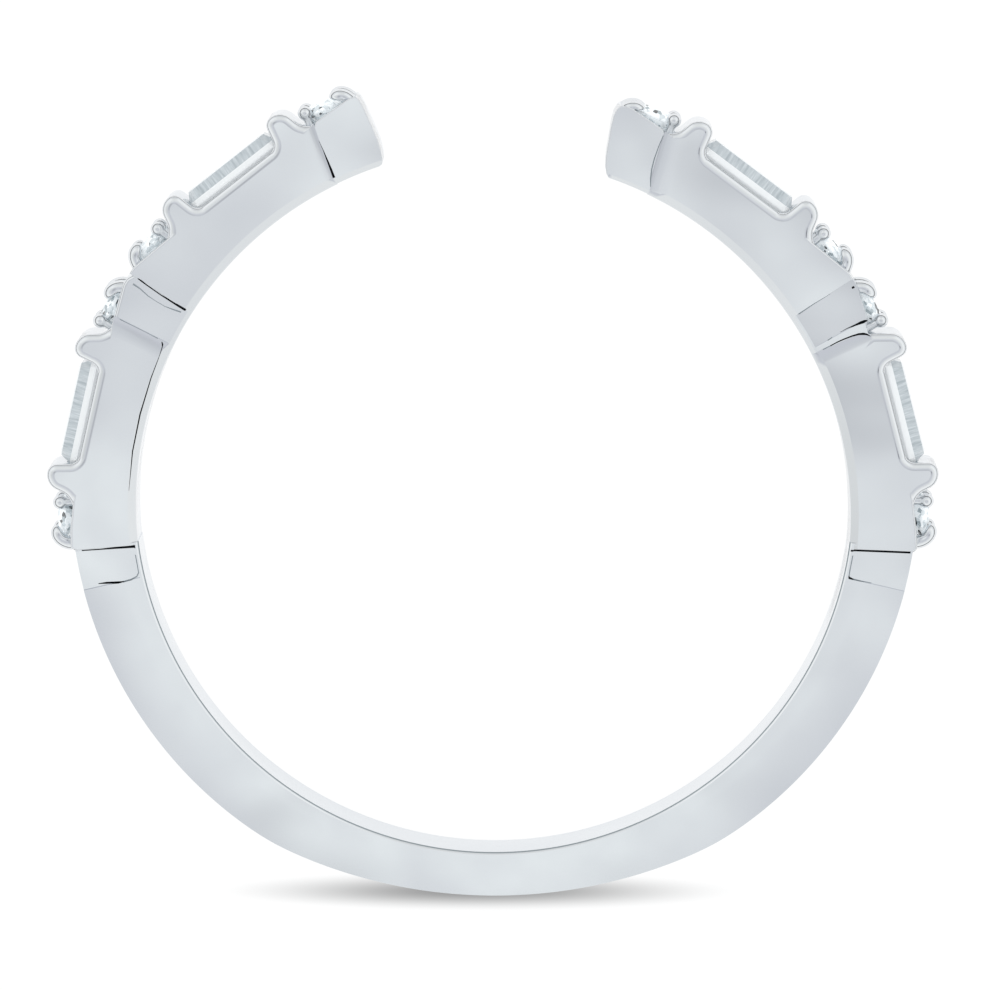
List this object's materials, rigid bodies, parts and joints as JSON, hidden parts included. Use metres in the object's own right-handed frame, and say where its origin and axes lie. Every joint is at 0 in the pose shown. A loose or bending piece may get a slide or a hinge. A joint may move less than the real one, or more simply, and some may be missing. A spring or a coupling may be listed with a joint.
{
  "type": "adjustable open ring",
  "caption": "Polished white-metal finger ring, open at the top, with step-cut and round clear stones in a row along both arms.",
  "frame": {"origin": "centre of the shank's finger hole, on the surface that the ring lies on", "axes": "+Z along the finger hole, up from the surface; +Y from the bottom of the shank to the open ends; +X to the right arm"},
  "size_m": [0.0216, 0.0196, 0.002],
  "materials": {
    "white_gold": "mirror-polished, rhodium-plated white gold",
    "clear_stone": "polished clear diamond"
  },
  "bodies": {
    "root": {"band": "white_gold", "baguette_right_low": "clear_stone", "baguette_right_high": "clear_stone", "baguette_left_low": "clear_stone", "baguette_left_high": "clear_stone", "round_right_1": "clear_stone", "round_right_2": "clear_stone", "round_right_3": "clear_stone", "round_right_4": "clear_stone", "round_left_1": "clear_stone", "round_left_2": "clear_stone", "round_left_3": "clear_stone", "round_left_4": "clear_stone"}
  },
  "joints": []
}
